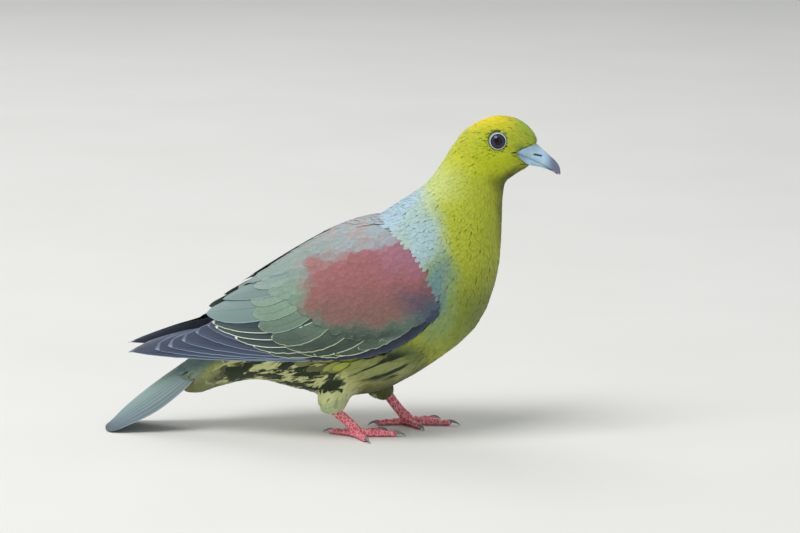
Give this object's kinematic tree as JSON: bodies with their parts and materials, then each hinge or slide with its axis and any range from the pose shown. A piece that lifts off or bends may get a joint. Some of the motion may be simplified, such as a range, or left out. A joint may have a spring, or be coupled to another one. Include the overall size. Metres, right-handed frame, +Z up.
{
  "type": "green pigeon",
  "caption": "Life-size still model of a standing male green pigeon, with a blue bill, maroon wing patches and red feet, resting on its toes and tail tip.",
  "frame": {"origin": "centre of the bottom of the bird's bounding box, on the floor plane that its soles and tail tip rest on", "axes": "+X toward the bill, +Y toward the bird's left side, +Z up"},
  "size_m": [0.2588, 0.0848, 0.1814],
  "materials": {
    "head_plumage": "lime to golden yellow feathers, soft and close",
    "body_plumage": "yellow-green breast, blue-grey mantle, cream flanks with dark green streaks",
    "wing_plumage": "grey-green coverts with a maroon patch, pale-edged dark flight feathers",
    "tail_plumage": "blue-grey-green vanes, cream undertail coverts with green centres",
    "bill_horn": "pale blue skin and horn, grey-violet toward the tip",
    "eye_glass": "polished dark eye with a violet-blue and red ring",
    "foot_skin": "crimson scaled skin with paler scale edges",
    "claw_horn": "grey horn"
  },
  "bodies": {
    "root": {"head": "head_plumage", "neck": "head_plumage", "trunk": "body_plumage", "thigh_right": "body_plumage", "thigh_left": "body_plumage", "wing_right": "wing_plumage", "wing_left": "wing_plumage", "tail": "tail_plumage", "bill_upper": "bill_horn", "bill_lower": "bill_horn", "eye_right": "eye_glass", "eye_left": "eye_glass", "foot_right": "foot_skin", "foot_left": "foot_skin", "claw_right_middle": "claw_horn", "claw_right_inner": "claw_horn", "claw_right_outer": "claw_horn", "claw_right_hind": "claw_horn", "claw_left_middle": "claw_horn", "claw_left_inner": "claw_horn", "claw_left_outer": "claw_horn", "claw_left_hind": "claw_horn"}
  },
  "joints": []
}
